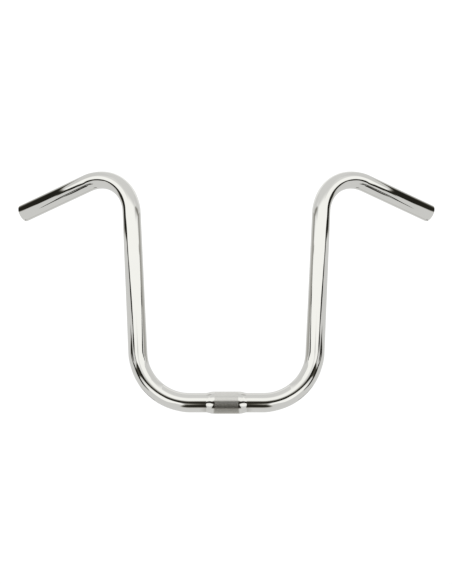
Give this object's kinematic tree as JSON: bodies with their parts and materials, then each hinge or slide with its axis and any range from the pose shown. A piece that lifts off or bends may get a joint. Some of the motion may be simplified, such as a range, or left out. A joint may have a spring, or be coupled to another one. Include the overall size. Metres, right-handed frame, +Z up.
{
  "type": "handlebar",
  "caption": "High-rise chrome handlebar: a continuous bent steel tube with tall uprights and swept-back, drooping grip ends, and a knurled clamp sleeve at the middle.",
  "frame": {"origin": "centre of the clamp sleeve, on the clamp axis", "axes": "+X along the clamp axis to one grip, +Z up, +Y rearwards to the rider; the uprights lean 14 degrees to +Y; left-right symmetric about X = 0; left and right in names are the -X and +X sides"},
  "size_m": [0.5408, 0.1482, 0.2928],
  "materials": {
    "tube_chrome": "bright chrome plate on steel tube, polished",
    "sleeve_chrome": "bright chrome plate over a fine knurl, with polished shoulders",
    "braze_chrome": "bright chrome plate over smoothed braze filler"
  },
  "bodies": {
    "root": {"main_tube": "tube_chrome", "centre_sleeve": "sleeve_chrome", "braze_fillet_right": "braze_chrome", "braze_fillet_left": "braze_chrome"}
  },
  "joints": []
}
